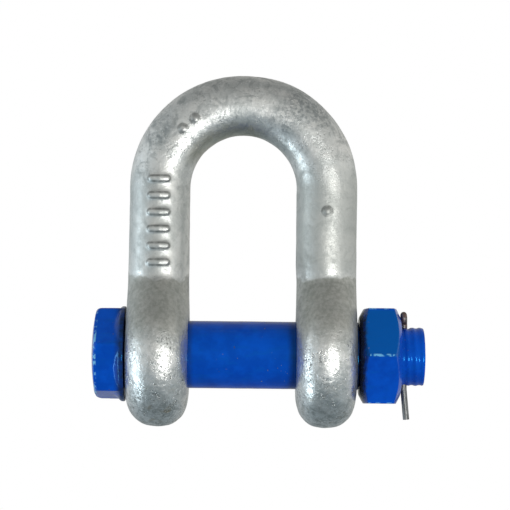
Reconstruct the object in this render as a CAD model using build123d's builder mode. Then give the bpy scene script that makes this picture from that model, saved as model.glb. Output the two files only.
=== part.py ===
"""Dee shackle, 25 mm bar, with a safety bolt, hexagon nut and split pin.

Frame, in millimetres: the origin is on the bolt's axis, midway between the eyes. +X runs along the bolt
towards the nut, +Z up to the crown, and +Y completes the frame.
"""

import os
from math import cos, radians, sin, sqrt, tan

from build123d import *

# ---- driving dimensions -------------------------------------------------------------------------

# shackle body
BAR = 25.4  # round bar
JAW = 45.0  # clear width between the legs
INSIDE = 92.8  # bolt axis to the inside of the crown
EYE_OD = 61.0  # outside diameter of an eye
EYE_THICK = 25.8  # along the bolt
EYE_TAPER = 38.0  # slope of the straight flanks that run from the leg to the round of the eye
EYE_NECK = 3.0  # concave radius from the leg into the flanks
HOLE = 29.6  # bolt hole
HOLE_MOUTH = 1.2  # rounding of the hole's mouths

# raised plain marks on the body
MARK_HEIGHT = 1.0  # over the crown's bar
MARK_LENGTH = 9.0
MARK_WIDTH = 2.0
MARK_COUNT = 6
MARK_FIRST = 39.0  # height of the lowest bar on the leg beside the head
MARK_STEP = 7.0
DOT = 2.2  # radius of the round marks
DOT_SINK = 1.3  # how far their centres lie under the surface
LEG_DOT_Z = 61.0  # on the leg beside the nut
CROWN_DOTS = (125.5, 136.0)  # degrees round the crown, from +X

# bolt
SHANK = 28.6
HEAD_GAP = 0.6  # play between the head and the first eye
NUT_GAP = 1.2  # play between the second eye and the nut
FLANGE_OD = 40.4
FLANGE_THICK = 1.7  # at the rim
FLANGE_SLOPE = 48.0  # back of the flange, from its face
FLANGE_ROUND = 0.5
HEAD_LENGTH = 14.4  # flange included
HEAD_AF = 35.5  # across flats
HEAD_CORNER = 1.2  # rounding of the hexagon's corners
HEAD_DOME = 98.0  # radius of the domed end
HEAD_RIM = 3.4  # rounding of the dome's rim
HEAD_TURN = 13.8  # one corner is turned up this far from facing -Y
THREAD_OD = 24.8
THREAD_PITCH = 3.175
THREAD_DEPTH = 1.4
THREAD_CREST = 0.7
RELIEF = 3.0  # length of the undercut beside the shoulder, where the thread ends
RELIEF_EXTRA = 0.3  # how much deeper than the thread it is
STUB = 9.9  # thread that shows outside the nut
END_ROUND = 1.4

# nut
NUT_AF = 40.0
NUT_THICK = 17.5
NUT_RING_IN = 33.0  # diameter of the flat ring that the chamfer leaves on the face beside the eye
NUT_RING_OUT = 33.6
NUT_SLOPE_IN = 29.0  # chamfer beside the eye, from the face
NUT_SLOPE_OUT = 27.0
NUT_CORNER = 0.5
NUT_PLAY = 0.12  # bore over thread, on diameter
NUT_MOUTH = 1.0
NUT_TURN = 4.4

# split pin
WIRE = 2.7  # both half-round legs together
LEG_SPLIT = 0.04  # each leg's flat, from the pin's middle plane
PIN_HOLE = 4.6
PIN_OFFSET = 1.7  # pin's axis outside the nut's face
LOOP_INSIDE = 1.5  # radius inside the loop
LOOP_NECK = 2.0  # radius at which a leg turns out into the loop
LOOP_LEAN = 3.0  # towards the nut
PIN_NECK = 12.7  # height at which the legs part
LEG_TIP = -26.6  # lower end of the long leg
SHORT_LEG = 1.6  # how much shorter the other leg is
LEG_BEND = -13.0  # height at which the legs start to lean away from the nut
LEG_LEAN = 5.5
BEND_RADIUS = 12.0

# ---- worked out ---------------------------------------------------------------------------------

LEG_X = (JAW + BAR) / 2
CROWN_Z = INSIDE - JAW / 2  # centre of the crown's half circle
EYE_X = (JAW + EYE_THICK) / 2
EYE_FACE = JAW / 2 + EYE_THICK
JOIN = radians(90 - EYE_TAPER)  # where the round meets a flank, from straight up
NECK_AXIS = EYE_THICK / 2 + EYE_NECK
NECK_Z = (EYE_OD / 2 + EYE_NECK - NECK_AXIS * sin(JOIN)) / cos(JOIN)
FLANK = NECK_Z * sin(JOIN) - NECK_AXIS * cos(JOIN)  # length of a straight flank
HEAD_FACE = -(EYE_FACE + HEAD_GAP)
HEAD_END = HEAD_FACE - HEAD_LENGTH
SHOULDER = EYE_FACE + NUT_GAP
NUT_OUTER = SHOULDER + NUT_THICK
BOLT_END = NUT_OUTER + STUB
PIN_X = NUT_OUTER + PIN_OFFSET
PIN_HOLE_X = NUT_OUTER + PIN_HOLE / 2
CORNERS = 1 / cos(radians(30))  # a hexagon's width across corners over its width across flats

os.makedirs("parts", exist_ok=True)

# ---- shackle body -------------------------------------------------------------------------------

# Half of one eye, centred on the origin. Its section is a plate with a full round edge. The section turns
# round the hole, runs straight up the flank, and turns round the neck's own centre into half of a circle.
with BuildPart() as half_eye:
    uphill = Vector(0, -cos(JOIN), sin(JOIN))
    with BuildSketch(Plane((0, 0, 0), x_dir=(1, 0, 0), z_dir=uphill)) as section:
        flat = (EYE_OD - EYE_THICK) / 2
        with Locations((0, flat / 2)):
            Rectangle(EYE_THICK, flat)
        with Locations((0, flat)):
            Circle(EYE_THICK / 2)
        split(bisect_by=Plane.XZ, keep=Keep.BOTTOM)
    revolve(axis=Axis((0, 0, 0), (-1, 0, 0)), revolution_arc=90 + EYE_TAPER)
    extrude(section.sketch, amount=FLANK)
    neck_section = section.sketch.moved(Location(FLANK * uphill))
    revolve(neck_section, axis=Axis((0, NECK_AXIS, NECK_Z), (-1, 0, 0)), revolution_arc=EYE_TAPER)
    split(bisect_by=Plane.XZ, keep=Keep.BOTTOM)

# Plain raised bars across the leg beside the head, following its round surface.
with BuildPart() as leg_bars:
    with BuildSketch(Plane.XZ):
        with Locations(*[(-LEG_X, MARK_FIRST + i * MARK_STEP) for i in range(MARK_COUNT)]):
            SlotOverall(MARK_LENGTH, MARK_WIDTH)
    extrude(amount=BAR)
    with Locations((-LEG_X, 0, CROWN_Z)):
        Cylinder(BAR / 2 + MARK_HEIGHT, 2 * CROWN_Z, mode=Mode.INTERSECT)

with BuildPart() as shackle_body:
    # the crown, and legs that swell very slightly towards the eyes
    with BuildLine(Plane.XZ) as crown_line:
        CenterArc((0, CROWN_Z), LEG_X, 0, 180)
    with BuildSketch(Plane.XY.offset(CROWN_Z)):
        with Locations((LEG_X, 0)):
            Circle(BAR / 2)
    sweep(path=crown_line.line)
    for side in (-1, 1):
        with BuildSketch(Plane.XY.offset(NECK_Z)):
            with Locations((side * EYE_X, 0)):
                Circle(EYE_THICK / 2)
        with BuildSketch(Plane.XY.offset(CROWN_Z)):
            with Locations((side * LEG_X, 0)):
                Circle(BAR / 2)
        loft()
    # the eyes
    with Locations((-EYE_X, 0, 0), (EYE_X, 0, 0)):
        add(half_eye.part)
        add(half_eye.part.mirror(Plane.XZ))
    with Locations(Rotation(0, 90, 0)):
        Cylinder(HOLE / 2, 3 * EYE_FACE, mode=Mode.SUBTRACT)
    mouths = shackle_body.edges().filter_by(GeomType.CIRCLE)
    fillet([e for e in mouths if abs(e.radius - HOLE / 2) < 0.01], HOLE_MOUTH)
    # raised marks on the side that faces -Y
    add(leg_bars.part)
    dots = [(LEG_X, LEG_DOT_Z)]
    for angle in CROWN_DOTS:
        dots.append((LEG_X * cos(radians(angle)), CROWN_Z + LEG_X * sin(radians(angle))))
    with Locations(*[(x, DOT_SINK - BAR / 2, z) for x, z in dots]):
        Sphere(DOT)

shackle_body.part.label = "shackle_body"
export_step(shackle_body.part, "parts/shackle_body.step")

# ---- bolt ---------------------------------------------------------------------------------------

# Hexagon head with a domed end, on a thin flange.
with BuildPart() as bolt_head:
    with BuildSketch(Plane.YZ.offset(HEAD_FACE)) as hexagon:
        RegularPolygon(HEAD_AF / 2 * CORNERS, 6, rotation=180 - HEAD_TURN)
        fillet(hexagon.vertices(), HEAD_CORNER)
    extrude(amount=-HEAD_LENGTH)
    with BuildSketch(Plane.XY) as dome:
        radius = HEAD_AF / 2 * CORNERS
        rise = HEAD_DOME - sqrt(HEAD_DOME**2 - radius**2)
        with BuildLine():
            RadiusArc((HEAD_END + rise, radius), (HEAD_END, 0), -HEAD_DOME)
            Line((HEAD_END, 0), (HEAD_FACE, 0))
            Line((HEAD_FACE, 0), (HEAD_FACE, radius))
            Line((HEAD_FACE, radius), (HEAD_END + rise, radius))
        make_face()
        fillet(dome.vertices().sort_by(Axis.Y)[-2:].sort_by(Axis.X)[0], HEAD_RIM)
    revolve(axis=Axis.X, mode=Mode.INTERSECT)
    with BuildSketch(Plane.XY) as flange:
        low = HEAD_AF / 2 - 1
        back = (FLANGE_OD / 2 - low) * tan(radians(FLANGE_SLOPE))
        with BuildLine():
            Polyline(
                (HEAD_FACE, 0),
                (HEAD_FACE, FLANGE_OD / 2),
                (HEAD_FACE - FLANGE_THICK, FLANGE_OD / 2),
                (HEAD_FACE - FLANGE_THICK - back, low),
                (HEAD_FACE - FLANGE_THICK - back, 0),
                close=True,
            )
        make_face()
        fillet(flange.vertices().group_by(Axis.Y)[-1], FLANGE_ROUND)
    revolve(axis=Axis.X)

with BuildPart() as bolt:
    # shank up to its shoulder, undercut, and threaded end
    with BuildSketch(Plane.XY):
        core = THREAD_OD / 2 - THREAD_DEPTH
        undercut = core - RELIEF_EXTRA
        with BuildLine():
            Polyline(
                (HEAD_FACE, 0),
                (HEAD_FACE, SHANK / 2),
                (SHOULDER, SHANK / 2),
                (SHOULDER, undercut),
                (SHOULDER + RELIEF, undercut),
                (SHOULDER + RELIEF + THREAD_OD / 2 - undercut, THREAD_OD / 2),
                (BOLT_END, THREAD_OD / 2),
                (BOLT_END, 0),
                close=True,
            )
        make_face()
    revolve(axis=Axis.X)
    # right-hand thread, cut as one helical groove from the undercut to past the end
    groove_start = SHOULDER + RELIEF - THREAD_PITCH / 3
    groove_length = BOLT_END + THREAD_PITCH - groove_start
    with BuildLine() as helix:
        Helix(THREAD_PITCH, groove_length, core, center=(groove_start, 0, 0), direction=(1, 0, 0))
    with BuildSketch(Plane.XZ):
        open_half = (THREAD_PITCH - THREAD_CREST) / 2
        over = 0.5  # the groove's profile reaches this far out of the thread
        flank = tan(radians(30))
        with BuildLine():
            Polyline(
                (groove_start - open_half + THREAD_DEPTH * flank, core),
                (groove_start + open_half - THREAD_DEPTH * flank, core),
                (groove_start + open_half + over * flank, core + THREAD_DEPTH + over),
                (groove_start - open_half - over * flank, core + THREAD_DEPTH + over),
                close=True,
            )
        make_face()
    sweep(path=helix.line, is_frenet=True, mode=Mode.SUBTRACT)
    # the end is rounded after the thread is cut
    with BuildSketch(Plane.XY) as envelope:
        with BuildLine():
            Polyline(
                (HEAD_FACE, 0),
                (HEAD_FACE, SHANK),
                (SHOULDER + RELIEF / 2, SHANK),
                (SHOULDER + RELIEF / 2, THREAD_OD / 2),
                (BOLT_END, THREAD_OD / 2),
                (BOLT_END, 0),
                close=True,
            )
        make_face()
        fillet(envelope.vertices().group_by(Axis.X)[-1].sort_by(Axis.Y)[-1], END_ROUND)
    revolve(axis=Axis.X, mode=Mode.INTERSECT)
    # cross hole for the split pin
    with Locations((PIN_HOLE_X, 0, 0)):
        Cylinder(PIN_HOLE / 2, 2 * THREAD_OD, mode=Mode.SUBTRACT)
    add(bolt_head.part)

bolt.part.label = "bolt"
export_step(bolt.part, "parts/bolt.step")

# ---- nut ----------------------------------------------------------------------------------------

with BuildPart() as hex_nut:
    with BuildSketch(Plane.YZ.offset(SHOULDER)) as hexagon:
        RegularPolygon(NUT_AF / 2 * CORNERS, 6, rotation=180 - NUT_TURN)
        fillet(hexagon.vertices(), NUT_CORNER)
    extrude(amount=NUT_THICK)
    # both faces chamfered in a lathe
    with BuildSketch(Plane.XY):
        corner = NUT_AF / 2 * CORNERS
        rise_in = (corner - NUT_RING_IN / 2) * tan(radians(NUT_SLOPE_IN))
        rise_out = (corner - NUT_RING_OUT / 2) * tan(radians(NUT_SLOPE_OUT))
        with BuildLine():
            Polyline(
                (SHOULDER, 0),
                (SHOULDER, NUT_RING_IN / 2),
                (SHOULDER + rise_in, corner),
                (NUT_OUTER - rise_out, corner),
                (NUT_OUTER, NUT_RING_OUT / 2),
                (NUT_OUTER, 0),
                close=True,
            )
        make_face()
    revolve(axis=Axis.X, mode=Mode.INTERSECT)
    with Locations(Location((SHOULDER + NUT_THICK / 2, 0, 0), (0, 90, 0))):
        Cylinder((THREAD_OD + NUT_PLAY) / 2, 2 * NUT_THICK, mode=Mode.SUBTRACT)
    mouths = hex_nut.edges().filter_by(GeomType.CIRCLE)
    chamfer([e for e in mouths if e.radius < THREAD_OD / 2 + 0.2], NUT_MOUTH)

hex_nut.part.label = "hex_nut"
export_step(hex_nut.part, "parts/hex_nut.step")

# ---- split pin ----------------------------------------------------------------------------------

with BuildPart() as split_pin:
    # the two legs, straight through the bolt and then leaning away from the nut
    for side, tip in ((-1, LEG_TIP), (1, LEG_TIP + SHORT_LEG)):
        with BuildLine(Plane.XZ) as leg:
            neck = JernArc((PIN_X, PIN_NECK), (0, 1), BEND_RADIUS, LOOP_LEAN)
            Line((PIN_X, PIN_NECK), (PIN_X, LEG_BEND))
            bend = JernArc((PIN_X, LEG_BEND), (0, -1), BEND_RADIUS, LEG_LEAN)
            drop = (tip - (bend @ 1).Z) / (bend % 1).Z
            Line(bend @ 1, bend @ 1 + drop * (bend % 1))
        neck_plane = Plane(neck @ 1, x_dir=(0, 1, 0), z_dir=neck % 1)
        with BuildSketch(neck_plane) as half_round:
            with Locations((side * LEG_SPLIT, 0)):
                Circle(WIRE / 2)
            with Locations((side * (LEG_SPLIT + WIRE), 0)):
                Rectangle(2 * WIRE, 2 * WIRE, mode=Mode.INTERSECT)
        sweep(path=leg.line)
    # the loop, which carries the last leg's section round to the other leg
    loop_plane = Plane(neck @ 1, x_dir=(0, 1, 0), z_dir=neck_plane.x_dir.cross(neck_plane.z_dir))
    with BuildLine(loop_plane) as loop:
        reach = LOOP_NECK + LOOP_INSIDE
        rise = sqrt(reach**2 - (LOOP_NECK + LEG_SPLIT) ** 2)
        turn_out = LOOP_INSIDE / reach
        touch = ((LOOP_NECK + LEG_SPLIT) * turn_out, rise * (1 - turn_out))
        RadiusArc((LEG_SPLIT, 0), touch, LOOP_NECK)
        ThreePointArc(touch, (0, rise + LOOP_INSIDE), (-touch[0], touch[1]))
        RadiusArc((-touch[0], touch[1]), (-LEG_SPLIT, 0), LOOP_NECK)
    sweep(half_round.sketch, path=loop.line)

split_pin.part.label = "split_pin"
export_step(split_pin.part, "parts/split_pin.step")
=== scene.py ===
"""Dee shackle with a safety bolt: the looks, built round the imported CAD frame.

Metres throughout, except in the materials, whose patterns and places are in millimetres.
"""

from math import cos, pi, radians, sin

import bpy
import numpy as np
from mathutils import Matrix, Vector


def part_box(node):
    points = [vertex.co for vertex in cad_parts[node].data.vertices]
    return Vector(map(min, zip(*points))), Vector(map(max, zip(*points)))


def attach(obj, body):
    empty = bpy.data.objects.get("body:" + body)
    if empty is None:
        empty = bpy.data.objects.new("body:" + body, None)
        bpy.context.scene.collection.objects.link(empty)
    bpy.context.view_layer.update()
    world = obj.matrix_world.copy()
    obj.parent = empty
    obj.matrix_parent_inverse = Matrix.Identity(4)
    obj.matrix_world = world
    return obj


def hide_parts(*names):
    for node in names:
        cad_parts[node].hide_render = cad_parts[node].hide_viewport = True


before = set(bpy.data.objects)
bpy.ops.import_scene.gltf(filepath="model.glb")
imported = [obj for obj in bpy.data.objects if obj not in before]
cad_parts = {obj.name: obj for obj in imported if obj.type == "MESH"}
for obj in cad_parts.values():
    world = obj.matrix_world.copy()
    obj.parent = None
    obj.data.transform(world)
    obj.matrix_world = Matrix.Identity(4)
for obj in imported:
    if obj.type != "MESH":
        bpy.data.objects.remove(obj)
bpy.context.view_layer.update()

# ---- sizes --------------------------------------------------------------------------------------

MM = 0.001

body_low, body_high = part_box("shackle_body")
nut_low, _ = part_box("hex_nut")
bolt_low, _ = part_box("bolt")

LEG_MM = 35.2  # a leg's centre from the middle of the jaw
CROWN_MM = 70.3  # the centre of the crown's half circle above the bolt's axis
EYE_FACE_MM = 22.5  # an eye's inner face from the middle of the jaw
HEAD_END_MM = bolt_low[0] / MM
NUT_START_MM = nut_low[0] / MM

FLOOR_Z = body_low[2]
BAR_RADIUS = 12.7 * MM
LEG_X = LEG_MM * MM
CROWN_Z = body_high[2] - LEG_X - BAR_RADIUS
THREAD_RADIUS = 12.4 * MM
THREAD_DEPTH = 1.4 * MM

# ---- camera -------------------------------------------------------------------------------------

VIEW_X = 5.2 * MM  # what the middle of the picture shows
VIEW_Z = 42.4 * MM
VIEW_WIDTH = 216.1 * MM  # width of the picture at the bolt's axis
VIEW_DISTANCE = 0.80
VIEW_ROLL = radians(0.62)
SENSOR_WIDTH = 36.0


def add_camera():
    data = bpy.data.cameras.new("camera")
    data.sensor_width = SENSOR_WIDTH
    data.lens = data.sensor_width * VIEW_DISTANCE / VIEW_WIDTH
    camera = bpy.data.objects.new("camera", data)
    bpy.context.scene.collection.objects.link(camera)
    turn = Matrix.Rotation(pi / 2, 4, "X") @ Matrix.Rotation(VIEW_ROLL, 4, "Z")
    camera.matrix_world = Matrix.Translation((VIEW_X, -VIEW_DISTANCE, VIEW_Z)) @ turn
    bpy.context.scene.camera = camera


# ---- nodes --------------------------------------------------------------------------------------


class Nodes:
    """A node tree, built call by call. Each call gives back a socket, or the node it made."""

    def __init__(self, tree):
        self.nodes = tree.nodes
        self.links = tree.links
        self.nodes.clear()

    def feed(self, socket, value):
        """Links value to the socket if it is one itself, and sets the socket to it otherwise."""
        if isinstance(value, bpy.types.NodeSocket):
            self.links.new(value, socket)
        else:
            socket.default_value = value

    def add(self, kind, inputs=None, **settings):
        made = self.nodes.new(kind)
        for key, value in settings.items():
            setattr(made, key, value)
        for key, value in (inputs or {}).items():
            self.feed(made.inputs[key], value)
        return made

    def math(self, operation, a, b=0.0):
        return self.add("ShaderNodeMath", {0: a, 1: b}, operation=operation).outputs[0]

    def plus(self, a, b):
        return self.math("ADD", a, b)

    def minus(self, a, b):
        return self.math("SUBTRACT", a, b)

    def times(self, a, b):
        return self.math("MULTIPLY", a, b)

    def most(self, a, b):
        return self.math("MAXIMUM", a, b)

    def gap(self, a, b):
        """How far apart two numbers are."""
        return self.math("ABSOLUTE", self.minus(a, b))

    def length(self, a, b):
        """The long side of a right-angled triangle."""
        return self.math("POWER", self.plus(self.math("POWER", a, 2), self.math("POWER", b, 2)), 0.5)

    def mix(self, factor, a, b, blend="MIX"):
        made = self.add("ShaderNodeMix", {"Factor": factor}, data_type="RGBA", blend_type=blend)
        for name, value in (("A", a), ("B", b)):
            self.feed(next(s for s in made.inputs if s.name == name and s.type == "RGBA"), value)
        return next(s for s in made.outputs if s.type == "RGBA")

    def ramp(self, value, stops):
        """A colour ramp through stops, which are pairs of a position and a colour."""
        made = self.add("ShaderNodeValToRGB", {0: value})
        elements = made.color_ramp.elements
        elements[0].position, elements[1].position = 0.0, 1.0
        for position, _ in stops[1:-1]:
            elements.new(position)
        for element, (_, colour) in zip(elements, stops):
            element.color = (*colour, 1)
        return made.outputs[0]


class Shader(Nodes):
    """One material. Its patterns are laid out in millimetres on the piece."""

    def __init__(self, name):
        self.material = bpy.data.materials.new(name)
        self.material.use_nodes = True
        super().__init__(self.material.node_tree)
        place = self.add("ShaderNodeTexCoord").outputs["Object"]
        inputs = {0: place, "Scale": 1 / MM}
        self.place = self.add("ShaderNodeVectorMath", inputs, operation="SCALE").outputs[0]

    def axis(self, which):
        return self.add("ShaderNodeSeparateXYZ", {0: self.place}).outputs[which]

    def across(self):
        """Distance from the bolt's axis."""
        return self.length(self.axis("Y"), self.axis("Z"))

    def from_point(self, point):
        inputs = {0: self.place, 1: point}
        return self.add("ShaderNodeVectorMath", inputs, operation="DISTANCE").outputs["Value"]

    def noise(self, size, detail=3.0, rough=0.5, warp=0.0, seed=0.0, stretch=(1, 1, 1)):
        inputs = {0: self.place, 1: stretch, 2: (seed, 2 * seed, -seed)}
        moved = self.add("ShaderNodeVectorMath", inputs, operation="MULTIPLY_ADD").outputs[0]
        inputs = {"Vector": moved, "Scale": 1 / size, "Detail": detail}
        inputs.update({"Roughness": rough, "Distortion": warp})
        return self.add("ShaderNodeTexNoise", inputs).outputs[0]

    def flakes(self, size, seed):
        """Flat cells, each with its own number from 0 to 1."""
        inputs = {0: self.place, 1: (seed, seed, seed)}
        moved = self.add("ShaderNodeVectorMath", inputs, operation="ADD").outputs[0]
        cells = self.add("ShaderNodeTexVoronoi", {"Vector": moved, "Scale": 1 / size}, feature="F1")
        return self.add("ShaderNodeSeparateColor", {0: cells.outputs["Color"]}).outputs[0]

    def span(self, value, low, high, to_low=0.0, to_high=1.0):
        """value between low and high, as a smooth step from to_low to to_high."""
        inputs = {"Value": value, "From Min": low, "From Max": high}
        inputs.update({"To Min": to_low, "To Max": to_high})
        return self.add("ShaderNodeMapRange", inputs, interpolation_type="SMOOTHSTEP").outputs[0]

    def near(self, which, at, reach, fade):
        """1 within reach of a plane across an axis, fading to 0 over the given width."""
        return self.span(self.gap(self.axis(which), at), reach, reach + fade, 1, 0)

    def bump(self, height, depth, under=None):
        """height from 0 to 1 as relief of the given depth."""
        inputs = {"Height": height, "Strength": 1.0, "Distance": depth * MM}
        if under is not None:
            inputs["Normal"] = under
        return self.add("ShaderNodeBump", inputs).outputs[0]

    def surface(self, inputs):
        shader = self.add("ShaderNodeBsdfPrincipled", inputs)
        self.add("ShaderNodeOutputMaterial", {"Surface": shader.outputs[0]})
        return self.material


# ---- light and floor ----------------------------------------------------------------------------

# The room as the metal sees it: brightest in a band at eye level, dim and warm overhead, dim and
# cool underfoot. Each stop is an elevation in degrees and a radiance.
ROOM_HEIGHTS = (
    (-90, (0.155, 0.195, 0.215)),
    (-62, (0.19, 0.235, 0.26)),
    (-38, (0.335, 0.39, 0.42)),
    (-12, (0.625, 0.64, 0.65)),
    (6, (0.86, 0.86, 0.85)),
    (30, (0.62, 0.62, 0.605)),
    (55, (0.38, 0.38, 0.37)),
    (90, (0.31, 0.31, 0.30)),
)
# Round the room at eye level: azimuth in degrees (0 is the camera's side, 90 is +X) and a tint.
ROOM_AROUND = (
    (-180, (0.46, 0.46, 0.42)),
    (-150, (0.80, 0.83, 0.84)),
    (-120, (0.95, 1.04, 1.10)),
    (-85, (1.10, 1.20, 1.27)),
    (-54, (0.88, 0.95, 0.98)),
    (-28, (0.585, 0.60, 0.595)),
    (-6, (0.785, 0.79, 0.77)),
    (18, (0.885, 0.885, 0.86)),
    (45, (0.865, 0.865, 0.84)),
    (72, (1.22, 1.22, 1.18)),
    (100, (0.98, 0.98, 0.95)),
    (150, (0.80, 0.80, 0.76)),
    (180, (0.46, 0.46, 0.42)),
)
# Name, azimuth and elevation in degrees, distance, size, radiance and colour.
LIGHTS = (
    ("key", 24, -7, 0.45, (0.115, 0.105), 17.0, (1.0, 0.985, 0.95)),
    ("window", -80, -21, 0.6, (0.085, 0.50), 6.0, (0.78, 0.92, 1.0)),
)
WHITE = (1, 1, 1, 1)
FLOOR_HALF = 3.0


def add_light(name, azimuth, elevation, distance, size, radiance, colour):
    """An area light that looks at the bolt's middle."""
    data = bpy.data.lights.new(name, "AREA")
    data.shape = "RECTANGLE"
    data.size, data.size_y = size
    data.energy = 4 * radiance * size[0] * size[1]
    data.color = colour
    light = bpy.data.objects.new(name, data)
    a, e = radians(azimuth), radians(elevation)
    away = Vector((sin(a) * cos(e), -cos(a) * cos(e), sin(e)))
    light.location = distance * away
    light.rotation_euler = away.to_track_quat("Z", "Y").to_euler()
    bpy.context.scene.collection.objects.link(light)


def add_world():
    """White to the camera; the room to everything else."""
    world = bpy.data.worlds.new("studio")
    bpy.context.scene.world = world
    world.use_nodes = True
    t = Nodes(world.node_tree)
    direction = t.add("ShaderNodeTexCoord").outputs["Generated"]
    x, y, z = t.add("ShaderNodeSeparateXYZ", {0: direction}).outputs
    turn = t.math("ARCTAN2", x, t.times(y, -1.0))
    around = t.plus(t.math("DIVIDE", turn, 2 * pi), 0.5)
    height = t.plus(t.math("DIVIDE", t.math("ARCSINE", z), pi), 0.5)
    grey = t.ramp(height, [(e / 180 + 0.5, c) for e, c in ROOM_HEIGHTS])
    tint = t.ramp(around, [(a / 360 + 0.5, c) for a, c in ROOM_AROUND])
    level = t.minus(1.0, t.math("ABSOLUTE", z))
    room = t.mix(level, grey, t.mix(1.0, grey, tint, "MULTIPLY"))
    seen = t.add("ShaderNodeLightPath").outputs["Is Camera Ray"]
    background = t.add("ShaderNodeBackground", {0: t.mix(seen, room, WHITE)})
    t.add("ShaderNodeOutputWorld", {0: background.outputs[0]})


def add_floor():
    """A white floor that runs to a white horizon, and is left out of the metal's reflections."""
    corners = [(FLOOR_HALF * x, FLOOR_HALF * y, FLOOR_Z) for x, y in ((-1, -1), (1, -1), (1, 1), (-1, 1))]
    mesh = bpy.data.meshes.new("floor")
    mesh.from_pydata(corners, [], [(0, 1, 2, 3)])
    floor = bpy.data.objects.new("floor", mesh)
    bpy.context.scene.collection.objects.link(floor)
    floor.visible_glossy = floor.visible_diffuse = floor.visible_shadow = False
    material = bpy.data.materials.new("white_floor")
    material.use_nodes = True
    t = Nodes(material.node_tree)
    white = t.add("ShaderNodeEmission")
    clear = t.add("ShaderNodeBsdfTransparent")
    below = t.add("ShaderNodeNewGeometry").outputs["Backfacing"]
    mixed = t.add("ShaderNodeMixShader", {0: below, 1: white.outputs[0], 2: clear.outputs[0]})
    t.add("ShaderNodeOutputMaterial", {"Surface": mixed.outputs[0]})
    mesh.materials.append(material)


# ---- zinc ---------------------------------------------------------------------------------------

# The forging's raised marks: six bars on the leg beside the head, and three dots.
BAR_FIRST, BAR_STEP, BAR_COUNT = 39.0, 7.0, 6
BAR_REACH = 3.5  # from a bar's middle to the centre of its round end
BAR_RIM = 1.2  # from a bar's centre line to the foot of its side
DOT_RIM = 2.35
DOT_Y = -11.4
DOT_LEG_Z = 61.0
DOT_ANGLES = (125.5, 136)  # round the crown, in degrees

# Dark spotted patches of the crown: centre, reach and size of spot.
BRUISES = (((-36, -9, 94), 10, 3.4), ((27, -9, 105), 15, 1.5), ((18, -10, 99), 10, 1.2))

ZINC_DULL, ZINC_PALE = (0.54, 0.565, 0.56, 1), (0.75, 0.755, 0.74, 1)
ZINC_MOTTLE = (0.36, 0.385, 0.38, 1)
ZINC_STREAK = (0.84, 0.86, 0.87, 1)
ZINC_FLAKE = (0.90, 0.91, 0.92, 1)
ZINC_PIT = (0.17, 0.18, 0.175, 1)
ZINC_FLECK = (0.93, 0.935, 0.94, 1)
ZINC_BLOTCH = (0.17, 0.19, 0.18, 1)
ZINC_VEIL = (0.24, 0.265, 0.27, 1)
ZINC_BRUISE = (0.22, 0.25, 0.265, 1)
ZINC_BROWN = (0.36, 0.30, 0.20, 1)
ZINC_FILM_SHADE = (0.42, 0.39, 0.28, 1)
ZINC_LEG_SHADED = (0.48, 0.495, 0.475, 1)
NECK_SHADE_DARK, NECK_SHADE_LIGHT = (0.28, 0.29, 0.255, 1), (0.42, 0.425, 0.395, 1)
MARK_SHADE_DARK = (0.12, 0.125, 0.12, 1)


def mark_shade_rims(s):
    """Painted shade: a dark line round the foot of each raised mark."""
    x, y, z = s.axis("X"), s.axis("Y"), s.axis("Z")
    start = BAR_FIRST - BAR_STEP / 2
    end = start + BAR_COUNT * BAR_STEP
    along = s.minus(s.math("MODULO", s.minus(z, start), BAR_STEP), BAR_STEP / 2)
    sideways = s.most(s.minus(s.gap(x, -LEG_MM), BAR_REACH), 0.0)
    rim = s.span(s.gap(s.length(along, sideways), BAR_RIM), 0.22, 0.6, 1, 0)
    rows = s.times(s.span(z, start, start + 1), s.span(z, end - 1, end, 1, 0))
    mask = s.times(rim, rows)
    dots = [(LEG_MM, DOT_LEG_Z)]
    for angle in DOT_ANGLES:
        dots.append((LEG_MM * cos(radians(angle)), CROWN_MM + LEG_MM * sin(radians(angle))))
    for dot_x, dot_z in dots:
        away = s.from_point((dot_x, DOT_Y, dot_z))
        mask = s.most(mask, s.span(s.gap(away, DOT_RIM), 0.25, 0.65, 1, 0))
    mask = s.times(mask, s.span(y, -7, -9))
    return s.times(mask, s.span(s.noise(2.2, detail=3, seed=91), 0.3, 0.6, 0.35, 1))


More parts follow.
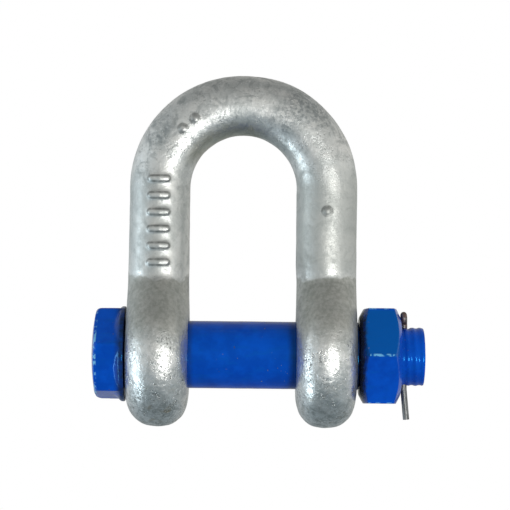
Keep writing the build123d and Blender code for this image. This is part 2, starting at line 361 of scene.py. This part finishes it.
def galvanised():
    """Hot-dip zinc: clouded grey, duller round the necks with painted shade there, pitted on the eyes and
    the crown.
    """
    s = Shader("galvanised_zinc")
    x, z = s.axis("X"), s.axis("Z")

    # where: round each neck a band of duller zinc and painted shade has a crisp ragged upper edge and
    # fades out below
    wander = s.span(s.noise(11, detail=4, rough=0.6, seed=41), 0.25, 0.75, -2.6, 2.6)
    edge = s.plus(z, wander)
    neck_dull_shade = s.times(s.span(edge, 32.2, 33.9, 1, 0), s.span(edge, 2.0, 16.0))
    eye = s.span(edge, 6.0, 18.0, 1, 0)
    eye_foot = s.span(z, -24, -6, 1, 0)
    legs = s.times(s.span(z, 30, 40), s.span(z, 66, 88, 1, 0))
    # duller legs, darkened more on the nut's side as painted shade that tones down the highlight
    legs_dull_shade = s.times(legs, s.span(x, 15, 25, 0.40, 0.70))
    crown = s.span(s.plus(z, s.span(wander, -2.6, 2.6, -12, 12)), 66, 84)
    from_crown = s.length(x, s.minus(z, CROWN_MM))
    # a warm tint inside the crown, partly dirt and partly painted shade under the crown
    inner = s.times(s.span(from_crown, 24.5, 29.5, 1, 0), s.span(x, 2, 13, 0.60, 0.10))
    crown_film_shade = s.times(inner, s.span(z, 76, 86))
    rich = s.most(s.times(eye, 0.85), s.times(crown, 0.38))

    # the clouded ground
    cloud = s.noise(13, detail=5, rough=0.6, warp=0.6)
    patch = s.noise(6.5, detail=6, rough=0.62, warp=1.0, seed=7)
    streak = s.noise(2.6, detail=4, rough=0.6, seed=17, stretch=(1, 1, 0.22))
    colour = s.mix(s.span(cloud, 0.36, 0.62), ZINC_DULL, ZINC_PALE)
    colour = s.mix(s.span(patch, 0.46, 0.66, 0, 0.60), colour, ZINC_MOTTLE)
    colour = s.mix(s.span(streak, 0.52, 0.72, 0, 0.35), colour, ZINC_STREAK)
    colour = s.mix(s.span(s.flakes(1.5, seed=11), 0.0, 1.0, 0.0, 0.15), colour, ZINC_FLAKE)

    # dark pits and bright flecks
    pits = s.span(s.noise(0.95, detail=3, rough=0.6, seed=31), 0.53, 0.63)
    area = s.span(s.noise(8, detail=4, rough=0.6, seed=21), 0.44, 0.60)
    speck = s.times(pits, s.times(area, s.plus(rich, 0.16)))
    bright = s.span(s.noise(1.1, detail=3, rough=0.6, seed=51), 0.56, 0.66)
    fleck = s.times(bright, s.plus(rich, 0.3))
    colour = s.mix(s.times(speck, 0.72), colour, ZINC_PIT)
    colour = s.mix(s.times(fleck, 0.5), colour, ZINC_FLECK)

    # blotches under the eyes, a veil and spotted patches on the crown
    blotch = s.span(s.noise(3.4, detail=6, rough=0.7, warp=1.2, seed=81), 0.47, 0.60)
    colour = s.mix(s.times(s.times(blotch, eye_foot), 0.5), colour, ZINC_BLOTCH)
    veil = s.span(s.noise(7, detail=5, rough=0.65, warp=1.5, seed=101), 0.50, 0.62)
    colour = s.mix(s.times(s.times(veil, crown), 0.40), colour, ZINC_VEIL)
    for place, reach, size in BRUISES:
        spotted = s.span(s.noise(size, detail=4, rough=0.65, seed=121), 0.44, 0.60)
        bruise = s.times(s.span(s.from_point(place), 0.3 * reach, reach, 1, 0), spotted)
        colour = s.mix(s.times(bruise, 0.62), colour, ZINC_BRUISE)
    brown = s.times(s.span(s.noise(5, detail=3, seed=61), 0.58, 0.70), s.times(eye_foot, 0.5))
    colour = s.mix(brown, colour, ZINC_BROWN)

    # a warm dirty tint with painted shade inside the crown, plain duller legs with painted shade on the
    # nut's side, duller zinc and painted shade on the necks, painted shade round the marks
    colour = s.mix(crown_film_shade, colour, ZINC_FILM_SHADE)
    # duller legs with painted shade, darkest on the nut's side
    colour = s.mix(legs_dull_shade, colour, ZINC_LEG_SHADED)
    mottle = s.span(s.noise(1.6, detail=4, rough=0.65, seed=111), 0.38, 0.62)
    # painted shade on the necks, over duller mottled zinc
    colour = s.mix(s.times(neck_dull_shade, 0.68), colour, s.mix(mottle, NECK_SHADE_DARK, NECK_SHADE_LIGHT))
    # painted shade round the foot of the raised marks
    colour = s.mix(s.times(mark_shade_rims(s), 0.62), colour, MARK_SHADE_DARK)

    grain = s.noise(0.8, detail=3, rough=0.65, seed=3)
    rough = s.span(patch, 0.35, 0.7, 0.27, 0.42)
    rough = s.plus(rough, s.span(grain, 0.3, 0.7, -0.03, 0.06))
    rough = s.plus(rough, s.plus(s.times(neck_dull_shade, 0.17), s.times(legs_dull_shade, 0.27)))
    rough = s.plus(rough, s.times(crown, 0.05))
    rough = s.plus(rough, s.times(fleck, -0.06))

    crinkle = s.noise(1.7, detail=3, rough=0.55, warp=0.6, seed=71)
    relief = s.bump(grain, 0.05)
    relief = s.bump(s.noise(3.0, detail=3, rough=0.5, seed=5), 0.12, relief)
    relief = s.bump(s.times(crinkle, s.plus(rich, 0.18)), 0.19, relief)
    relief = s.bump(s.minus(1.0, speck), 0.10, relief)
    return s.surface({"Base Color": colour, "Metallic": 0.92, "Roughness": rough, "Normal": relief})


# ---- paint --------------------------------------------------------------------------------------

BLUE_DEEP, BLUE_BRIGHT = (0.002, 0.057, 0.44, 1), (0.0025, 0.078, 0.55, 1)
BLUE_RUN = (0.002, 0.078, 0.44, 1)
BLUE_EYE_SHADOW = (0.002, 0.048, 0.34, 1)
BLUE_UPPER_SHEEN = (0.002, 0.084, 0.36, 1)
RUST_DARK, RUST_LIGHT = (0.07, 0.05, 0.03, 1), (0.25, 0.24, 0.19, 1)
GLINT_PALE = (0.20, 0.54, 0.82, 1)
SHADE_BLACK = (0.012, 0.014, 0.018, 1)
GLOSS_TINT = (0.05, 0.48, 1.0, 1)

FLANGE_CORNER = 14.6  # from the head's end to the middle of the painted shade in the flange's corner


def blue_paint(name, chips, gap_shade, glint, shade):
    """Thick glossy blue enamel over steel.

    The first mask is of chips; the second and third, from 0 to 1, are painted shade in gaps and painted
    highlights on edges; shade paints shadow and reflection into the blue.
    """
    s = Shader(name)
    cloud = s.noise(9, detail=4, rough=0.6, seed=2)
    runs = s.noise(2.4, detail=3, rough=0.55, seed=12, stretch=(0.3, 1, 1))
    blue = s.mix(s.span(cloud, 0.35, 0.65), BLUE_DEEP, BLUE_BRIGHT)
    blue = shade(s, s.mix(s.span(runs, 0.5, 0.72, 0, 0.5), blue, BLUE_RUN))
    chip = chips(s)
    rust = s.mix(s.span(s.noise(1.2, seed=9), 0.4, 0.6), RUST_DARK, RUST_LIGHT)
    colour = s.mix(chip, blue, rust)
    broken = s.span(s.noise(1.9, detail=3, rough=0.6, seed=14), 0.47, 0.60)
    # painted highlight: pale dashes along edges
    colour = s.mix(s.times(glint(s), broken), colour, GLINT_PALE)
    # painted shade in gaps and corners
    colour = s.mix(s.times(gap_shade(s), 0.94), colour, SHADE_BLACK)
    rough = s.span(s.noise(4, detail=3, seed=4), 0.3, 0.7, 0.08, 0.17)
    rough = s.plus(rough, s.times(chip, 0.4))
    relief = s.bump(s.noise(1.8, detail=2, rough=0.4, seed=6), 0.05)
    relief = s.bump(runs, 0.10, relief)
    relief = s.bump(s.minus(1.0, chip), 0.10, relief)
    inputs = {"Base Color": colour, "Roughness": rough, "Normal": relief}
    inputs.update({"Specular IOR Level": 0.5, "Specular Tint": GLOSS_TINT})
    return s.surface(inputs)


def bolt_chips(s):
    spots = s.span(s.noise(1.6, detail=3, rough=0.6, seed=15), 0.66, 0.72)
    return s.times(spots, s.span(s.noise(10, detail=2, seed=25), 0.5, 0.6))


def bolt_gap_shade(s):
    """Painted shade in the flange's corner, in the gap beside the nut and beside the eyes' inner faces."""
    ragged = s.span(s.noise(2.5, detail=4, rough=0.6, seed=33), 0.3, 0.7, 0.65, 1)
    flange = s.near("X", HEAD_END_MM + FLANGE_CORNER, 1.4, 3.4)
    slot = s.near("X", NUT_START_MM, 1.4, 1.0)
    inside = s.most(s.near("X", -EYE_FACE_MM, 0.4, 2.4), s.near("X", EYE_FACE_MM, 0.6, 3.2))
    return s.times(s.most(s.most(flange, slot), s.times(inside, 0.55)), ragged)


def bolt_rim_glint(s):
    """A painted highlight: pale dashes round the rim of the head's end."""
    rim = s.near("X", HEAD_END_MM + 2.3, 0.35, 0.45)
    return s.times(s.times(rim, s.span(s.across(), 15.4, 16.4)), 0.85)


def bolt_eye_shadow(s, blue):
    """A painted shadow: darker, duller blue towards the end of the shank beside the nut's eye."""
    eye_shadow = s.times(s.span(s.axis("X"), 4, 22), s.span(s.axis("X"), 24, 30, 1, 0))
    return s.mix(s.times(eye_shadow, 0.45), blue, BLUE_EYE_SHADOW)


def nut_chips(s):
    spots = s.span(s.noise(1.4, detail=3, rough=0.6, seed=18), 0.64, 0.72)
    return s.times(spots, s.span(s.axis("X"), NUT_START_MM + 1, NUT_START_MM + 5, 1, 0))


def nut_chamfer_shade(s):
    """Painted shade on the chamfer beside the eye."""
    ragged = s.span(s.noise(2.2, detail=4, rough=0.6, seed=34), 0.3, 0.7, -0.5, 0.5)
    return s.span(s.plus(s.axis("X"), ragged), NUT_START_MM + 0.7, NUT_START_MM + 3.2, 1, 0)


def nut_corner_glint(s):
    """A painted highlight: pale dashes along the nut's six corners."""
    return s.times(s.span(s.across(), 22.68, 22.82), 0.7)


def nut_upper_sheen(s, blue):
    """The flat that faces up and forward has a painted reflection: a duller, greener blue."""
    upper = s.times(s.span(s.axis("Z"), 0.9, 1.5), s.span(s.axis("Y"), -10, -11))
    flats = s.times(s.span(s.across(), 19.4, 19.9), 0.9)
    return s.mix(s.times(upper, flats), blue, BLUE_UPPER_SHEEN)


# ---- pin ----------------------------------------------------------------------------------------

WIRE_DARK, WIRE_LIGHT = (0.07, 0.075, 0.075, 1), (0.26, 0.27, 0.27, 1)
WIRE_RUST = (0.17, 0.10, 0.085, 1)


def pin_steel():
    """Bare drawn wire, darkened, with a bloom of rust round the loop."""
    s = Shader("pin_steel")
    streak = s.noise(1.0, detail=4, rough=0.6, seed=1, stretch=(2, 2, 0.25))
    rusty = s.times(s.span(s.axis("Z"), 6, 16), s.span(s.noise(1.5, detail=3, seed=8), 0.4, 0.6))
    colour = s.mix(s.span(streak, 0.3, 0.7), WIRE_DARK, WIRE_LIGHT)
    colour = s.mix(s.times(rusty, 0.8), colour, WIRE_RUST)
    rough = s.span(streak, 0.3, 0.7, 0.35, 0.55)
    relief = s.bump(streak, 0.04)
    return s.surface({"Base Color": colour, "Metallic": 0.75, "Roughness": rough, "Normal": relief})


# ---- meshes -------------------------------------------------------------------------------------


def lattice_noise(points, size, seed):
    """Smooth noise from -1 to 1 at each point, on a lattice of the given pitch."""
    at = points / size
    base = np.floor(at).astype(np.int64)
    part = at - base
    part = part * part * (3 - 2 * part)
    total = np.zeros(len(points))
    for corner in np.ndindex(2, 2, 2):
        a, b, c = (base + corner).T
        mixed = a * 73856093 ^ b * 19349663 ^ c * 83492791 ^ seed * 2654435761
        mixed = (mixed ^ (mixed >> 13)) * 1274126177
        value = ((mixed ^ (mixed >> 16)) & 0xFFFF) / 32767.5 - 1
        total += np.prod(np.where(corner, part, 1 - part), axis=1) * value
    return total


def fine_copy(node, name, voxel, smoothing):
    """The CAD node's shape as an even fine mesh with its edges slightly softened."""
    source = bpy.data.objects.new(name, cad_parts[node].data.copy())
    bpy.context.scene.collection.objects.link(source)
    remesh = source.modifiers.new("even", "REMESH")
    remesh.mode = "VOXEL"
    remesh.voxel_size = voxel
    remesh.use_smooth_shade = True
    soften = source.modifiers.new("soften", "SMOOTH")
    soften.iterations = smoothing
    evaluated = source.evaluated_get(bpy.context.evaluated_depsgraph_get())
    mesh = bpy.data.meshes.new_from_object(evaluated)
    mesh.name = name
    source.modifiers.clear()
    source.data = mesh
    mesh.materials.clear()
    return source


def points_of(mesh):
    count = len(mesh.vertices)
    points, normals = np.empty(count * 3), np.empty(count * 3)
    mesh.vertices.foreach_get("co", points)
    mesh.vertices.foreach_get("normal", normals)
    return points.reshape(-1, 3), normals.reshape(-1, 3)


def put_points(mesh, points):
    mesh.vertices.foreach_set("co", points.ravel())
    mesh.update()


def ease(value, low, high):
    """0 at low and 1 at high, smoothly; low may be the larger."""
    t = np.clip((value - low) / (high - low), 0, 1)
    return t * t * (3 - 2 * t)


def forged_body():
    """The forging: lumpy skin, shoulders fuller than a true circle, eyes with full corners."""
    piece = fine_copy("shackle_body", "forged_body", 0.72 * MM, 4)
    mesh = piece.data
    points, normals = points_of(mesh)
    x, z = points[:, 0], points[:, 2]
    facing_x = np.abs(normals[:, 0])
    lumps = 0.09 * MM * lattice_noise(points, 15 * MM, 1) + 0.06 * MM * lattice_noise(points, 6 * MM, 2)
    dents = 0.035 * MM * lattice_noise(points, 2.2 * MM, 3)
    crinkle = ease(z, 18 * MM, 8 * MM) * 0.05 * MM * lattice_noise(points, 1.6 * MM, 6)
    # the crown's shoulders, most of all the one on the nut's side
    round_crown = np.hypot(x, z - CROWN_Z)
    outer = ease(round_crown, LEG_X, LEG_X + 9 * MM) * ease(z, CROWN_Z - 20 * MM, CROWN_Z + 12 * MM)
    slope = np.abs(x) / np.maximum(round_crown, MM)
    fuller = outer * ease(slope, 0.05, 0.55) * np.where(x > 0, 0.50, 0.18) * MM
    # the lower corners of the eyes, and the outer side of the leg beside the head
    corner = ease(z, -12 * MM, -20 * MM) * ease(facing_x, 0.1, 0.5) * ease(facing_x, 1.0, 0.8)
    flank = ease(facing_x, 0.7, 0.95) * ease(x, -40 * MM, -46 * MM) * ease(z, 44 * MM, 26 * MM)
    offsets = lumps + dents + crinkle + fuller + 0.40 * MM * corner + 0.25 * MM * flank
    moved = points + normals * offsets[:, None]
    # the inner side of the eye beside the nut stands a little outwards
    inner = ease(z, 40 * MM, 30 * MM) * ease(x, 33 * MM, 23 * MM) * (x > 0)
    moved[:, 0] += 0.45 * MM * inner
    put_points(mesh, np.clip(moved, np.array(body_low), np.array(body_high)))
    mesh.materials.append(galvanised())
    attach(piece, "shackle")
    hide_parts("shackle_body")


def painted_bolt():
    """The bolt under its paint, which three quarters fills the thread."""
    piece = fine_copy("bolt", "painted_bolt", 0.465 * MM, 3)
    mesh = piece.data
    points, _ = points_of(mesh)
    across = np.hypot(points[:, 1], points[:, 2])
    depth = np.maximum(THREAD_RADIUS - across, 0)
    fill = 0.74 * np.minimum(depth, THREAD_DEPTH) * np.exp(-np.maximum(depth - THREAD_DEPTH, 0) / (3 * MM))
    fill *= points[:, 0] > nut_low[0]
    points[:, 1:] *= ((across + fill) / np.maximum(across, 0.1 * MM))[:, None]
    put_points(mesh, points)
    points, normals = points_of(mesh)
    skin = 0.03 * MM * lattice_noise(points, 3 * MM, 4) - 0.04 * MM
    put_points(mesh, points + normals * skin[:, None])
    mesh.materials.append(blue_paint("bolt_paint", bolt_chips, bolt_gap_shade, bolt_rim_glint, bolt_eye_shadow))
    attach(piece, "bolt")
    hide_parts("bolt")


def painted_nut():
    piece = fine_copy("hex_nut", "painted_nut", 0.3 * MM, 3)
    mesh = piece.data
    points, normals = points_of(mesh)
    skin = 0.04 * MM * lattice_noise(points, 4 * MM, 5) - 0.05 * MM
    put_points(mesh, points + normals * skin[:, None])
    mesh.materials.append(blue_paint("nut_paint", nut_chips, nut_chamfer_shade, nut_corner_glint, nut_upper_sheen))
    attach(piece, "nut")
    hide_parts("hex_nut")


def wire_pin():
    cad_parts["split_pin"].data.materials.clear()
    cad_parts["split_pin"].data.materials.append(pin_steel())


bpy.context.scene.view_settings.view_transform = "Standard"
add_camera()
for light in LIGHTS:
    add_light(*light)
add_world()
add_floor()
forged_body()
painted_bolt()
painted_nut()
wire_pin()
